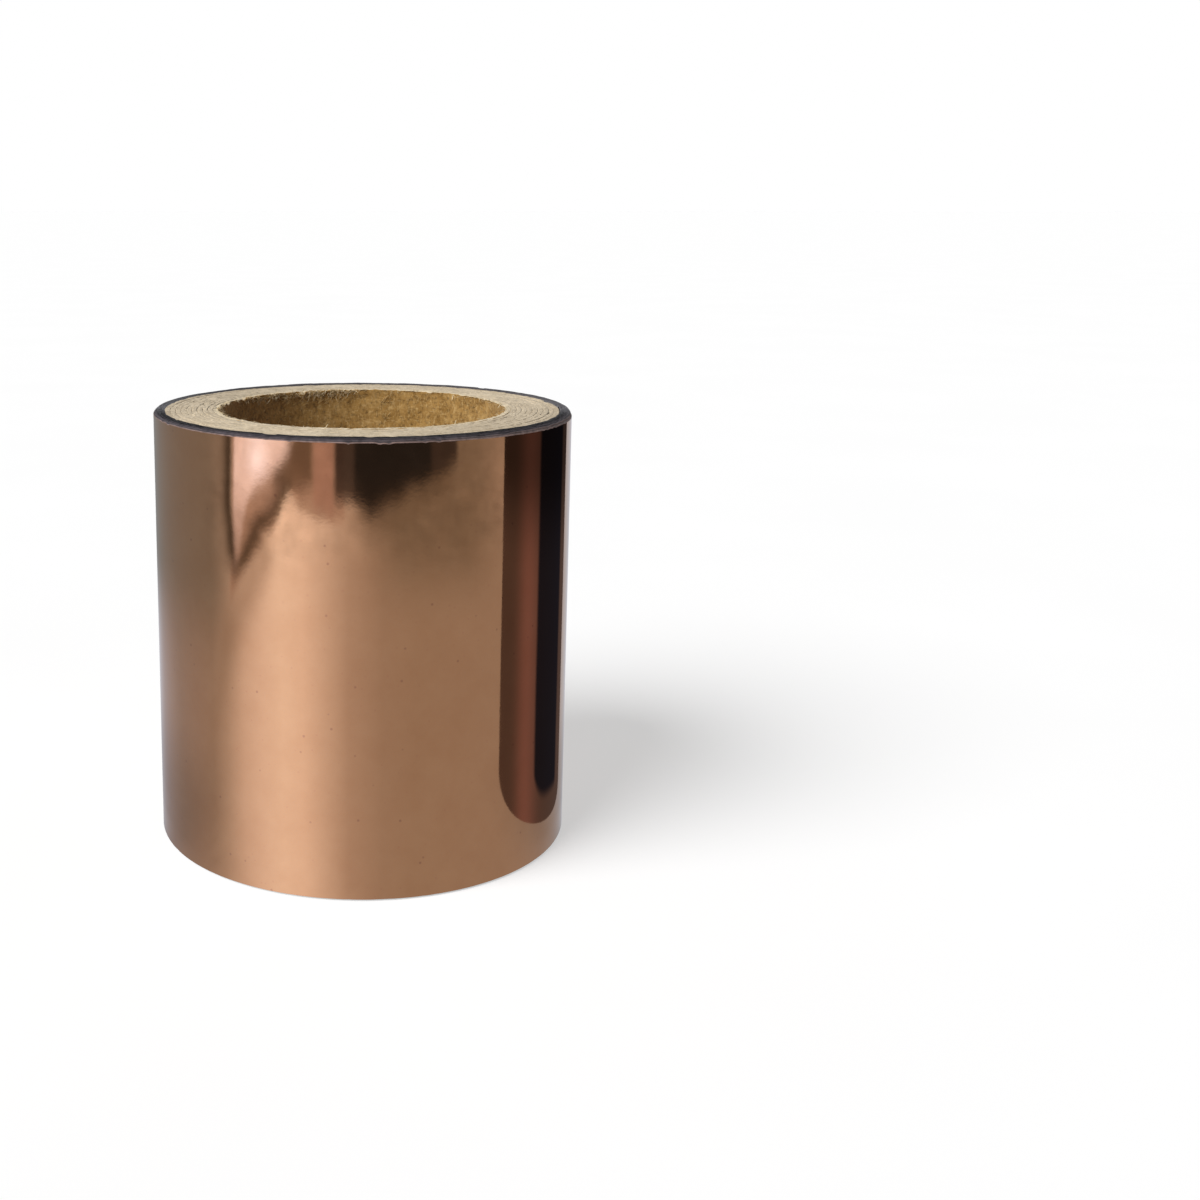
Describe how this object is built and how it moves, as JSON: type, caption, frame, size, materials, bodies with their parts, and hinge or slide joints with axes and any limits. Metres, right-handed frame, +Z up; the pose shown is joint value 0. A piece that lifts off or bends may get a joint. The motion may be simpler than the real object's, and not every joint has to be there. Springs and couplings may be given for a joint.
{
  "type": "copper foil tape roll",
  "caption": "Short roll of mirror-faced copper-coloured foil tape wound on a thick spiral-wound paperboard core, with a free end that peels.",
  "frame": {"origin": "on the core's axis, at the flat end that the roll stands on", "axes": "+Z up the core's axis; +Y points to the back, where the tape's free end lies; +X to the right"},
  "size_m": [0.0369, 0.0369, 0.038],
  "materials": {
    "kraft_liner": "coarse fibrous kraft board",
    "core_board": "cut edge of pale recycled board",
    "facing_board": "smooth facing board",
    "mirror_foil": "mirror-like copper-tinted metal face",
    "dark_adhesive": "dark tacky adhesive"
  },
  "bodies": {
    "roll": {"core_liner_ply": "kraft_liner", "core_body_ply_1": "core_board", "core_body_ply_2": "core_board", "core_body_ply_3": "core_board", "core_body_ply_4": "core_board", "core_body_ply_5": "core_board", "core_body_ply_6": "core_board", "core_body_ply_7": "core_board", "core_body_ply_8": "core_board", "core_facing_ply": "facing_board", "foil_winding": "mirror_foil", "adhesive_winding": "dark_adhesive"},
    "lead_1": {"lead_foil_1": "mirror_foil", "lead_adhesive_1": "dark_adhesive"},
    "lead_2": {"lead_foil_2": "mirror_foil", "lead_adhesive_2": "dark_adhesive"},
    "lead_3": {"lead_foil_3": "mirror_foil", "lead_adhesive_3": "dark_adhesive"},
    "lead_4": {"lead_foil_4": "mirror_foil", "lead_adhesive_4": "dark_adhesive"},
    "lead_5": {"lead_foil_5": "mirror_foil", "lead_adhesive_5": "dark_adhesive"}
  },
  "joints": [
    {"name": "peel_1", "type": "hinge", "parent": "roll", "child": "lead_1", "pos_m": [0, 0.01847, 0.019], "axis": [0, 0, -1], "range_deg": [0, 24]},
    {"name": "peel_2", "type": "hinge", "parent": "lead_1", "child": "lead_2", "pos_m": [-0.00384, 0.01807, 0.019], "axis": [0, 0, -1], "range_deg": [0, 24]},
    {"name": "peel_3", "type": "hinge", "parent": "lead_2", "child": "lead_3", "pos_m": [-0.00751, 0.01688, 0.019], "axis": [0, 0, -1], "range_deg": [0, 24]},
    {"name": "peel_4", "type": "hinge", "parent": "lead_3", "child": "lead_4", "pos_m": [-0.01086, 0.01495, 0.019], "axis": [0, 0, -1], "range_deg": [0, 24]},
    {"name": "peel_5", "type": "hinge", "parent": "lead_4", "child": "lead_5", "pos_m": [-0.01373, 0.01236, 0.019], "axis": [0, 0, -1], "range_deg": [0, 24]}
  ],
  "couplings": [
    {"joint": "peel_2", "follows": "peel_1", "ratio": 1},
    {"joint": "peel_3", "follows": "peel_1", "ratio": 1},
    {"joint": "peel_4", "follows": "peel_1", "ratio": 1},
    {"joint": "peel_5", "follows": "peel_1", "ratio": 1}
  ]
}
